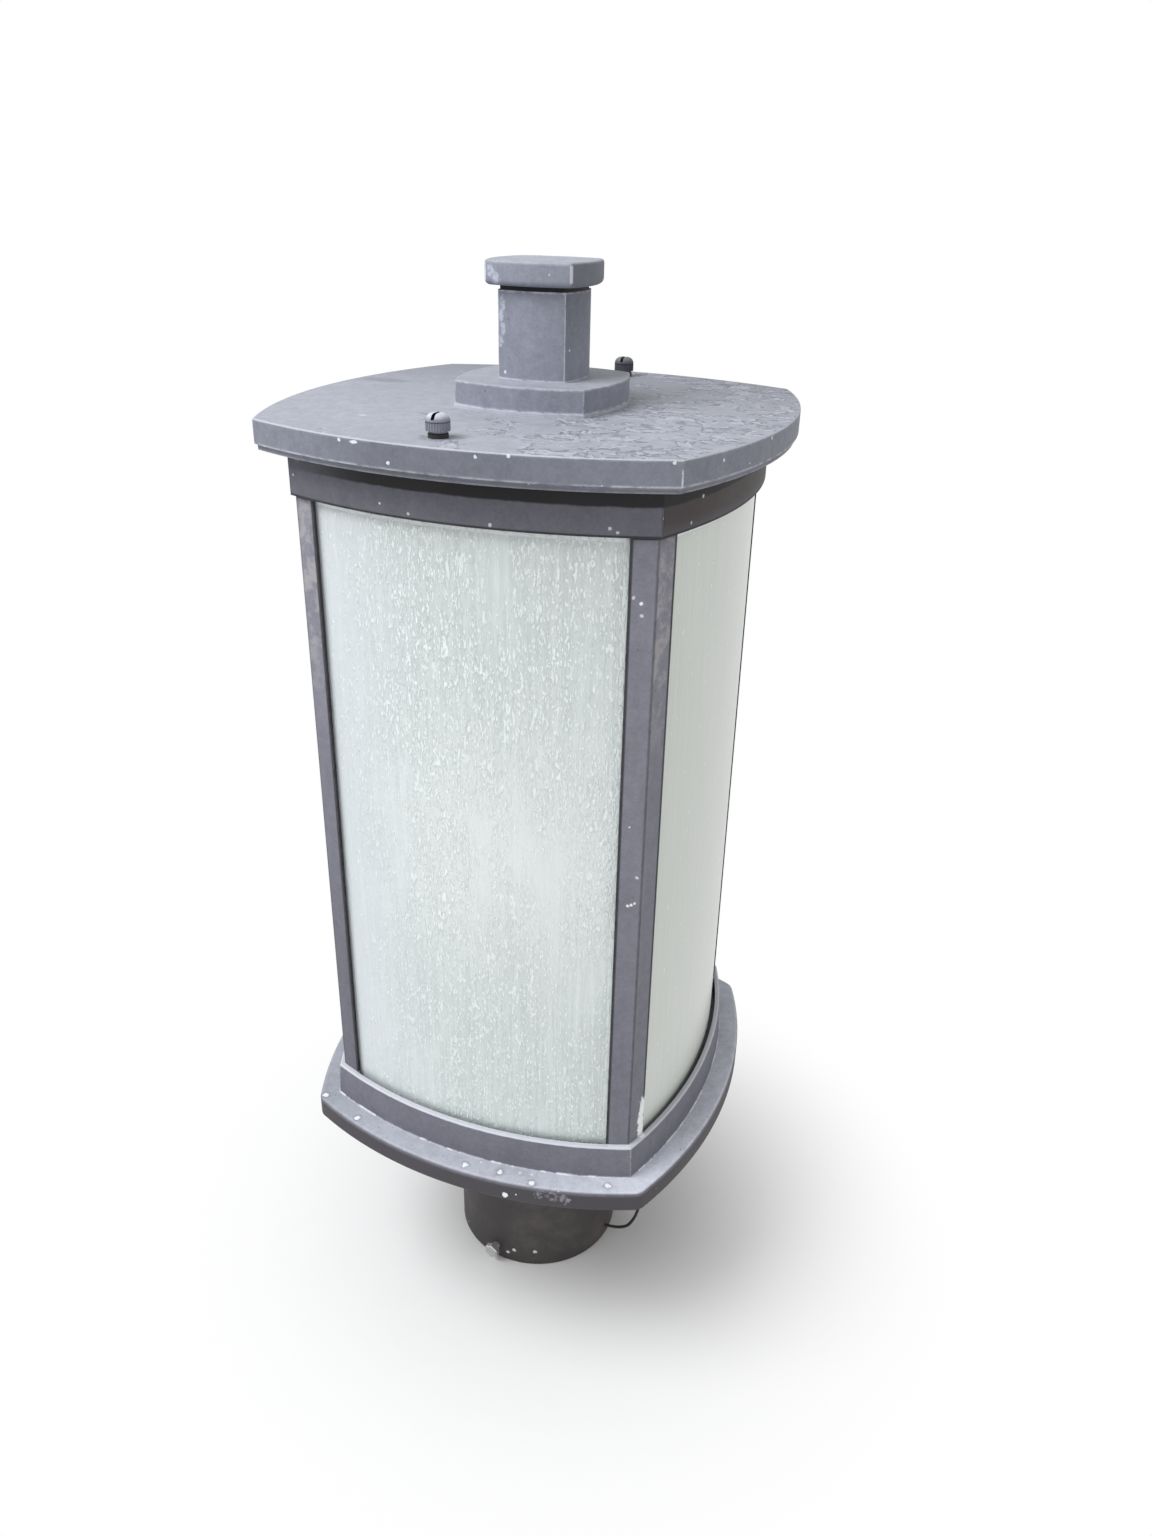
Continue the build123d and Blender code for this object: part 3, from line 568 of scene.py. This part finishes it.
def cage_shades(shader, base, posts, sideways):
    """Lighter and darker areas of the cage by level and side: posts lighter towards the top, plinth a little
    lighter, painted shade on the left post, ring and skirt, painted light and shade across the ledge, and
    painted shadow of the roof's lip on the ring.
    """
    x, height = shader.axis("X"), shader.axis("Z")
    ragged = shader.sway(height, shader.noise(90.0), RAGGED)
    lift = shader.span(shader.step(height, *POST_BAND), 1.10, 1.35)
    base = shader.scaled(base, shader.most(shader.times(lift, posts), 1.0))
    # Painted shade on the left post
    left = shader.times(shader.step(x, *LEFT_POST_SHADE_FROM), shader.step(height, RING_LOW, PLINTH_TOP), posts)
    base = shader.toned(base, left, 0.76)
    plinth = shader.window(height, *PLINTH_BAND, BAND_SOFT)
    base = shader.toned(base, plinth, 1.04)
    # Painted light and shade across the ledge: darker at the left, lighter at the right
    ledge = shader.window(height, *LEDGE_BAND, BAND_SOFT)
    shade = shader.times(shader.span(shader.step(x, *LEDGE_SHADE_ACROSS), 0.76, 1.0),
                         shader.span(shader.step(x, *LEDGE_LIGHT_ACROSS), 1.0, 1.35))
    base = shader.mix(ledge, base, shader.scaled(base, shade))
    # Painted shade on the ring
    ring = shader.step(height, *RING_SHADE_FROM)
    base = shader.cover(base, ring, 0.24, RING_PAINTED_SHADE)
    # Painted shadow of the lip on the upper part of the ring's right face
    right_lip_shadow = shader.times(sideways, shader.step(ragged, *RIGHT_SHADOW_FROM), shader.step(ragged, *RIGHT_SHADOW_TO))
    base = shader.cover(base, right_lip_shadow, 0.88, RIGHT_LIP_SHADOW)
    # Painted shadow just under the roof's lip, weaker at the left
    lip_shadow = shader.times(shader.window(ragged, *LIP_SHADOW_BAND, LIP_SHADOW_SOFT),
                        shader.span(shader.step(x, *LIP_SHADOW_ACROSS), 0.20, 0.95))
    base = shader.mix(lip_shadow, base, LIP_SHADOW)
    # Painted shade on the skirt
    skirt = shader.step(height, *SKIRT_SHADE_FROM)
    return shader.cover(base, skirt, 0.94, SKIRT_PAINTED_SHADE)


def cage_wear(shader, base, posts, sideways):
    """Rubbed upper posts, painted shadow in the gaps beside the glass and under the ring with a dark line
    along the corners, a painted highlight on the plinth's rim, scuffs on the skirt.
    """
    height = shader.axis("Z")
    upper = shader.times(posts, shader.step(height, *POST_WEAR_FROM),
                         shader.most(sideways, shader.step(shader.axis("X"), *LEFT_WEAR_FROM)))
    rub = shader.noise(110.0, detail=5.0, roughness=0.7)
    base = shader.cover(base, shader.times(upper, shader.step(rub, 0.44, 0.62)), 0.55, RUBBED_POST)
    # Painted shadow in the gaps beside the glass and under the ring; the same dark, weaker, along the corners
    beside = shader.times(shader.step(shader.along(), *BESIDE_GLASS), posts)
    skew = shader.math("ABSOLUTE", shader.math("SUBTRACT", shader.off("X"), shader.off("Y")))
    corner = shader.times(shader.step(skew, *CORNER_LINE), shader.step(height, *ABOVE_PLINTH))
    under_ring = shader.window(height, *UNDER_RING, JOINT_SOFT)
    gap_shadow = shader.most(beside, under_ring, shader.times(corner, 0.6))
    base = shader.cover(base, gap_shadow, 0.92, GAP_SHADOW)
    # Painted highlight on the plinth's top rim
    rim = shader.times(shader.step(height, *RIM_FROM), shader.step(height, *RIM_TO))
    base = shader.cover(base, rim, 0.6, PLINTH_RIM_HIGHLIGHT)
    scuff = shader.times(shader.spots(SKIRT_SCUFFS, SCUFF_RADIUS),
                         shader.step(shader.noise(500.0), 0.40, 0.62))
    return shader.cover(base, scuff, 0.4, SCUFF)


def cage_marks(shader, base):
    """The cage's shades and wear, then white at the plinth's foot, chips, drops and scratches."""
    height = shader.axis("Z")
    posts = shader.window(height, *POST_BAND, POST_SOFT)
    sideways = shader.step(shader.facing("X"), 0.5, 0.9)
    base = cage_shades(shader, base, posts, sideways)
    base = cage_wear(shader, base, posts, sideways)
    foot = shader.times(shader.window(shader.layer(), *FOOT_LINE, JOINT_SOFT),
                        shader.window(height, *FOOT_BAND, BAND_SOFT),
                        shader.step(shader.noise(170.0, detail=4.0), 0.52, 0.60))
    chips = shader.spots(CAGE_CHIPS, CAGE_CHIP_RADIUS, CAGE_CHIP_SHAPE)
    # Painted shadow ring around the ledge drops
    base = shader.toned(base, shader.spots(LEDGE_DROPS, LEDGE_DROP_SHADOW_RADIUS), 0.68)
    drops = shader.most(shader.spots(POST_SCRATCHES, SMALL_DROP_RADIUS),
                        shader.spots(LEDGE_DROPS, LEDGE_DROP_RADIUS),
                        shader.times(shader.spots(CAGE_DROPS, SMALL_DROP_RADIUS), 0.6))
    pale = shader.most(shader.times(foot, 0.7), chips, drops)
    return shader.cover(base, pale, 0.94, CAGE_WHITE), pale


def roof_shades(shader, base, level):
    """Lighter and darker areas of roof and finial: a darker rear of the roof top, painted shade on the lip's
    front, painted light on the finial's front, painted light and shade on its right faces, the roof's pale
    upper edge, and painted shade on its hem.
    """
    height, facing_y = shader.axis("Z"), shader.facing("Y")
    rear = shader.times(level, shader.step(shader.axis("Y"), *ROOF_REAR_FROM))
    base = shader.cover(base, rear, 0.75, ROOF_REAR)
    # Painted shade on the middle of the lip's front
    lip = shader.times(shader.step(facing_y, -0.6, -0.9), shader.step(height, *LIP_TO),
                       shader.window(shader.axis("X"), *LIP_SHADE_ACROSS, LIP_SHADE_SOFT))
    base = shader.toned(base, lip, 0.80)
    # Painted light on the finial's front faces
    finial = shader.step(height, *FINIAL_FROM)
    base = shader.toned(base, shader.times(finial, shader.step(facing_y, -0.5, -0.9)), 1.33)
    # Painted light and shade on the finial's right faces: lighter low, darker high
    flank = shader.times(finial, shader.step(shader.facing("X"), 0.5, 0.9))
    rise = shader.span(shader.step(height, *FLANK_RISE), 1.32, 0.80)
    base = shader.mix(flank, base, shader.scaled(base, rise))
    edge = shader.times(shader.window(shader.facing("Z"), 0.35, 0.90, 0.1),
                        shader.window(height, *EDGE_BAND, CRISP))
    base = shader.cover(base, edge, 0.45, ROOF_EDGE)
    # Painted shade on the hem under the lip
    hem = shader.step(height, *HEM_TO)
    return shader.cover(base, hem, 0.6, HEM_PAINTED_SHADE)


def roof_marks(shader, base):
    """The roof's shades, then ripples, a stain, pale corners, painted shade in the gap under the cap, chips
    and drops.
    """
    height = shader.axis("Z")
    level = shader.times(shader.step(shader.facing("Z"), 0.80, 0.97),
                         shader.step(height, *ROOF_LEVEL_TO))
    base = roof_shades(shader, base, level)
    patch = shader.sway(shader.step(shader.axis("X"), *RIPPLES_ACROSS), shader.noise(48.0, detail=3.0), 3.0)
    region = shader.times(level, shader.step(patch, 0.62, 0.95))
    place = shader.warped(shader.stretched(ROOF_RIPPLES), 60.0, 1.6)
    folds = shader.noise(1.0, detail=4.0, roughness=0.6, place=place)
    crest = shader.times(region, shader.window(folds, 0.485, 0.520, 0.016))
    slope = shader.times(region, shader.window(folds, 0.535, 0.580, 0.016))
    base = shader.cover(base, crest, 0.55, RIPPLE_CREST)
    base = shader.cover(base, slope, 0.40, RIPPLE_SLOPE)
    base = shader.cover(base, shader.spots(ROOF_STAINS, STAIN_RADIUS, STAIN_SHAPE), 0.35, ROOF_STAIN)
    bead = shader.window(height, *BEAD_BAND, CRISP)
    base = shader.cover(base, bead, 0.5, FINIAL_BEAD)
    corner = shader.math("ABSOLUTE", shader.times(shader.facing("X"), shader.facing("Y")))
    corner = shader.times(shader.step(corner, 0.40, 0.47), shader.step(shader.noise(200.0), 0.35, 0.50))
    base = shader.cover(base, corner, 0.75, PALE_CORNER)
    # Painted shade in the gap under the finial's cap
    base = shader.mix(shader.window(height, *CAP_SHADE_BAND, CRISP), base, CAP_GAP_SHADE)
    flakes = shader.most(shader.spots(FINIAL_CHIPS, FINIAL_CHIP_RADIUS, FINIAL_CHIP_SHAPE),
                         shader.spots(CAP_CHIPS, CAP_CHIP_RADIUS))
    patchy = shader.span(shader.step(shader.noise(450.0), 0.35, 0.60), 0.15, 0.65)
    base = shader.mix(shader.times(flakes, patchy), base, FLAKE)
    drops = shader.most(shader.spots(ROOF_DROPS, SMALL_DROP_RADIUS),
                        shader.spots(ROOF_DASHES, DASH_RADIUS, DASH_SHAPE))
    raised = shader.math("SUBTRACT", drops, shader.times(crest, 1.6))
    return shader.cover(base, drops, 0.85, ROOF_WHITE), raised


def thumb_paint(name):
    """Worn coat of the thumb screws: pale rounded top, painted shade in the slot, at the top's rim and on the
    neck.
    """
    shader = Shader(name)
    height = shader.axis("Z")
    grain = shader.noise(900.0, detail=3.0)
    tone = shader.sway(shader.span(grain, 0.9, 1.1), shader.noise(350.0, detail=3.0), 0.5)
    base = shader.mix(shader.step(shader.facing("Z"), 0.2, 0.85), THUMB_SIDE, THUMB_DOME)
    base = shader.toned(base, shader.step(shader.axis("Y"), *THUMB_REAR_FROM), 0.29)
    neck = shader.step(height, *THUMB_NECK_TO)
    off_slot = shader.math("ABSOLUTE", shader.math("SUBTRACT", shader.off("X"), THUMB_SLOT_AT))
    slot = shader.times(shader.step(off_slot, *THUMB_SLOT_TO), shader.step(height, *THUMB_SLOT_FROM))
    rim = shader.window(height, *THUMB_RIM_BAND, CRISP)
    # Painted shade in the slot, at the top's rim and on the neck
    painted_shade = shader.most(neck, slot, shader.times(rim, 0.6))
    shader.set(Base_Color=shader.mix(painted_shade, shader.scaled(base, tone), THUMB_PAINTED_SHADE))
    shader.set(Roughness=shader.span(grain, 0.50, 0.70), Specular_IOR_Level=0.35)
    shader.bump(grain, 0.00015, 0.5)
    return shader.material


def fitter_paint(name):
    """Dark satin coat of the fitter, dusty in places, with specks and worn edges."""
    shader = Shader(name)
    cloud = shader.noise(30.0, detail=5.0, roughness=0.65)
    grain = shader.noise(700.0, detail=2.0)
    base = shader.mix(shader.step(cloud, 0.45, 0.75), FITTER_PAINT, FITTER_DUST)
    specks = shader.most(shader.dots(170.0, 0.10, 0.09), shader.spots(FITTER_DROPS, FITTER_DROP_RADIUS))
    base = shader.mix(specks, base, FITTER_SPECK)
    wear = shader.times(shader.edges(FITTER_EDGE_RADIUS), shader.step(shader.noise(140.0), 0.45, 0.6))
    shader.set(Base_Color=shader.mix(wear, base, FITTER_WEAR))
    shader.set(Roughness=shader.span(cloud, 0.42, 0.72), Specular_IOR_Level=0.35)
    shader.bump(shader.math("ADD", grain, cloud), 0.0002, 0.5)
    return shader.material


def glass_seeds(shader, x, height, beyond):
    """How densely the seeds lie in the glass, and the seeds themselves: dashes, dots and flecks."""
    clusters = shader.drawn_noise(SEED_CLUSTERS, detail=4.0, roughness=0.6)
    density = shader.times(shader.step(clusters, 0.26, 0.58),
                           shader.span(shader.step(x, *SEEDS_ACROSS), 0.10, 1.0),
                           shader.span(beyond, 1.0, 0.05),
                           shader.span(shader.step(height, *SEEDS_UP), 0.70, 1.0))
    fine = shader.warped(shader.stretched(FINE_SEEDS), 700.0, 0.9)
    dashes = shader.dots(1.0, 0.38, density, fine)
    coarse = shader.warped(shader.stretched(COARSE_SEEDS), 450.0, 1.0)
    dots = shader.dots(1.0, 0.28, shader.times(density, 0.4), coarse)
    flecks = shader.drawn_noise(GLASS_FLECKS, detail=4.0, roughness=0.7)
    flecks = shader.times(shader.step(flecks, 0.50, 0.60), density)
    return density, shader.most(flecks, dashes, dots)


def seeded_glass(name):
    """Pale frosted glass, thick with small upright seeds and faint streaks, white along its rims, with a
    painted highlight at mid height on the front glass.
    """
    shader = Shader(name)
    x, height = shader.axis("X"), shader.axis("Z")
    beyond = shader.step(x, *RIGHT_GLASS_FROM)
    density, seeds = glass_seeds(shader, x, height, beyond)
    streaks = shader.drawn_noise(GLASS_STREAKS, detail=3.0, roughness=0.6)
    body = shader.mix(shader.step(streaks, 0.30, 0.70), GLASS_DIM, GLASS_PALE)
    body = shader.cover(body, shader.step(x, *LEFT_TINT_FROM), 0.6, GLASS_LEFT)
    body = shader.cover(body, beyond, 0.7, GLASS_RIGHT)
    body = shader.toned(body, density, 0.91)
    # Painted highlight at mid height over the middle and right of the front glass
    middle = shader.times(shader.window(height, *HIGHLIGHT_BAND, HIGHLIGHT_BAND_SOFT), shader.step(beyond, 1.0, 0.0),
                          shader.step(x, *HIGHLIGHT_ACROSS))
    body = shader.cover(body, middle, 0.7, GLASS_MIDDLE_HIGHLIGHT)
    inset = shader.sway(shader.along(), shader.step(x, *GLASS_RIM_ACROSS), GLASS_RIM_SHIFT)
    rim = shader.most(shader.step(inset, *GLASS_SIDE_RIM), shader.step(height, *GLASS_TOP_RIM))
    shader.set(Base_Color=shader.mix(shader.most(seeds, rim), body, GLASS_WHITE))
    shader.set(Roughness=shader.span(seeds, 0.34, 0.50), IOR=GLASS_IOR, Transmission_Weight=0.12)
    shader.set(Coat_Weight=0.2, Coat_Roughness=0.15)
    shader.bump(seeds, 0.0004, 0.7)
    return shader.material


def bulb_glass(name):
    """Inside-frosted lamp glass."""
    shader = Shader(name)
    mist = shader.noise(60.0, detail=3.0)
    shader.set(Base_Color=shader.mix(mist, BULB_DIM, BULB_PALE))
    shader.set(Roughness=shader.span(mist, 0.25, 0.35), IOR=GLASS_IOR, Transmission_Weight=0.35)
    return shader.material


def bare_metal(name, tint, roughness):
    """Plated or bare metal with fine scratches and dull patches."""
    shader = Shader(name)
    scratches = shader.drawn_noise(METAL_SCRATCHES, detail=3.0)
    tone = shader.span(shader.noise(120.0, detail=4.0), 0.75, 1.15)
    shader.set(Base_Color=shader.scaled(tint, tone), Metallic=1.0)
    shader.set(Roughness=shader.span(scratches, roughness - 0.10, roughness + 0.15))
    shader.bump(scratches, 0.00008, 0.4)
    return shader.material


def dull_solid(name, tint, roughness, grain_scale, grain_depth):
    """Rubber, glaze or jacket: small tone changes and a fine grain."""
    shader = Shader(name)
    tone = shader.span(shader.noise(90.0, detail=4.0), 0.85, 1.15)
    grain = shader.noise(grain_scale, detail=2.0)
    shader.set(Base_Color=shader.scaled(tint, tone))
    shader.set(Roughness=shader.span(grain, roughness - 0.07, roughness + 0.08))
    shader.bump(grain, grain_depth, 0.5)
    return shader.material


def make_materials():
    """One material for each of the record's slots."""
    materials = {
        "painted_cage": weathered_paint("cage_paint", CAGE_SIDE, CAGE_LEVEL, cage_marks),
        "painted_roof": weathered_paint("roof_paint", ROOF_SIDE, ROOF_LEVEL, roof_marks),
        "thumb_paint": thumb_paint("thumb_paint"),
        "painted_fitter": fitter_paint("fitter_paint"),
        "bent_glass": seeded_glass("seeded_glass"),
        "bulb_glass": bulb_glass("bulb_glass"),
    }
    for slot, look in METALS.items():
        materials[slot] = bare_metal(slot, *look)
    for slot, look in DULL_SOLIDS.items():
        materials[slot] = dull_solid(slot, *look)
    return materials


def dress_nodes(materials):
    """Gives every CAD node its slot's material."""
    for part in frame["record"]["subparts"]:
        node = frame["nodes"][part["node"]]
        node.data.materials.clear()
        node.data.materials.append(materials[part["material_slot"]])


def make_lead(material):
    """Ground lead as one smooth curve through its control points."""
    data = bpy.data.curves.new("ground_lead_wire", "CURVE")
    data.dimensions = "3D"
    data.bevel_depth = LEAD_RADIUS
    data.bevel_resolution = LEAD_ROUNDNESS
    data.resolution_u = LEAD_STEPS
    data.use_fill_caps = True
    spline = data.splines.new("NURBS")
    spline.points.add(len(LEAD_POINTS) - 1)
    for point, place in zip(spline.points, LEAD_POINTS):
        point.co = (*place, 1.0)
    spline.order_u = LEAD_ORDER
    spline.use_endpoint_u = True
    lead = bpy.data.objects.new("ground_lead_wire", data)
    bpy.context.scene.collection.objects.link(lead)
    data.materials.append(material)
    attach(lead, "frame")
    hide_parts("ground_lead")


def seen_directly(nodes):
    """1 for what the camera, a gloss or a clear piece sees, 0 for light."""
    path = nodes.add("ShaderNodeLightPath")
    return nodes.most(path.outputs["Is Camera Ray"], path.outputs["Is Glossy Ray"],
                      path.outputs["Is Transmission Ray"])


def make_floor():
    """Pale floor that keeps the shadow near the lantern and fades to white."""
    corners = [(-FLOOR_HALF, -FLOOR_HALF, 0), (FLOOR_HALF, -FLOOR_HALF, 0),
               (FLOOR_HALF, FLOOR_HALF, 0), (-FLOOR_HALF, FLOOR_HALF, 0)]
    mesh = bpy.data.meshes.new("floor")
    mesh.from_pydata(corners, [], [(0, 1, 2, 3)])
    floor = bpy.data.objects.new("floor", mesh)
    bpy.context.scene.collection.objects.link(floor)
    shader = Shader("floor_paper")
    grain = shader.noise(40.0, detail=2.0)
    shader.set(Base_Color=shader.mix(grain, FLOOR_DIM, FLOOR_PALE), Roughness=FLOOR_ROUGHNESS)
    reach = shader.add("ShaderNodeVectorMath", operation="LENGTH")
    shader.feed(reach.inputs[0], shader.place)
    far = shader.step(reach.outputs["Value"], FLOOR_NEAR, FLOOR_FAR)
    glow = shader.add("ShaderNodeEmission")
    blend = shader.add("ShaderNodeMixShader")
    shader.feed(blend.inputs[0], shader.times(far, seen_directly(shader)))
    shader.feed(blend.inputs[1], shader.surface.outputs[0])
    shader.feed(blend.inputs[2], glow.outputs[0])
    shader.feed(shader.output.inputs["Surface"], blend.outputs[0])
    mesh.materials.append(shader.material)


def make_world():
    """Soft even light, and a white background for what is seen directly."""
    world = bpy.data.worlds.new("studio")
    world.use_nodes = True
    nodes = Nodes(world.node_tree)
    background = nodes.tree.nodes["Background"]
    level = nodes.add("ShaderNodeMapRange")
    nodes.feed(level.inputs["To Min"], WORLD_LEVEL)
    nodes.feed(level.inputs["Value"], seen_directly(nodes))
    nodes.feed(background.inputs["Color"], WHITE)
    nodes.feed(background.inputs["Strength"], level.outputs[0])
    bpy.context.scene.world = world


def make_light(name, place, power, size, tint):
    """Large soft lamp aimed at the lantern's middle."""
    data = bpy.data.lights.new(name, "AREA")
    data.energy = power
    data.color = tint
    data.size = size
    lamp = bpy.data.objects.new(name, data)
    lamp.location = place
    lamp.rotation_euler = (AIM - place).to_track_quat("-Z", "Y").to_euler()
    bpy.context.scene.collection.objects.link(lamp)


def make_camera():
    """Camera at the photograph's place and angle."""
    data = bpy.data.cameras.new("photo_view")
    data.sensor_fit = "VERTICAL"
    data.sensor_height = SENSOR
    data.lens = FOCAL_PIXELS / IMAGE_HEIGHT * SENSOR
    data.clip_start = CLIP_START
    back = Vector((math.sin(CAMERA_YAW) * math.cos(CAMERA_PITCH),
                   -math.cos(CAMERA_YAW) * math.cos(CAMERA_PITCH), math.sin(CAMERA_PITCH)))
    right = Vector((math.cos(CAMERA_YAW), math.sin(CAMERA_YAW), 0.0))
    up = back.cross(right)
    turned_right = right * math.cos(CAMERA_ROLL) + up * math.sin(CAMERA_ROLL)
    turned_up = up * math.cos(CAMERA_ROLL) - right * math.sin(CAMERA_ROLL)
    camera = bpy.data.objects.new("photo_view", data)
    rotation = Matrix((turned_right, turned_up, back)).transposed().to_4x4()
    camera.matrix_world = Matrix.Translation(CAMERA_AT) @ rotation
    bpy.context.scene.collection.objects.link(camera)
    bpy.context.scene.camera = camera


materials = make_materials()
dress_nodes(materials)
make_lead(materials["lead_jacket"])
make_floor()
make_world()
make_light("key", KEY_AT, KEY_POWER, KEY_SIZE, KEY_TINT)
make_light("fill", FILL_AT, FILL_POWER, FILL_SIZE, FILL_TINT)
make_camera()
bpy.context.scene.view_settings.view_transform = "Standard"
